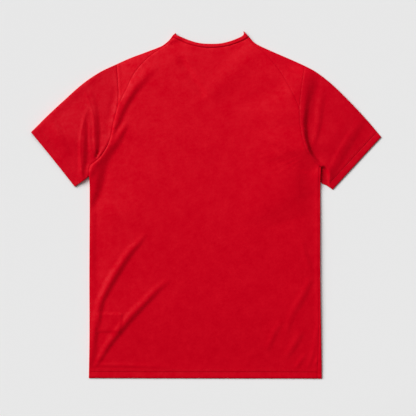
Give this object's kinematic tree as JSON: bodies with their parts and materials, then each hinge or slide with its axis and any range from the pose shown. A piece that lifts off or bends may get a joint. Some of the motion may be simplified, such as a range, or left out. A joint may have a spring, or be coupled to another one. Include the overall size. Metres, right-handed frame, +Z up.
{
  "type": "training top",
  "caption": "Short-sleeved V-neck training top laid flat on its front, with shoulder panels and set-in sleeves.",
  "frame": {"origin": "middle of the top's outline, on the surface that it lies on", "axes": "+Z up from the surface, out of the top's back; +Y towards the neck; +X towards the wearer's right sleeve"},
  "size_m": [0.7552, 0.75, 0.0089],
  "materials": {
    "body_cloth": "satin polyester knit",
    "sleeve_cloth": "satin polyester knit",
    "band_cloth": "fine rib knit"
  },
  "bodies": {
    "root": {"front": "body_cloth", "back": "body_cloth", "shoulder_left": "body_cloth", "shoulder_right": "body_cloth", "sleeve_left": "sleeve_cloth", "sleeve_right": "sleeve_cloth", "neck_band": "band_cloth"}
  },
  "joints": []
}
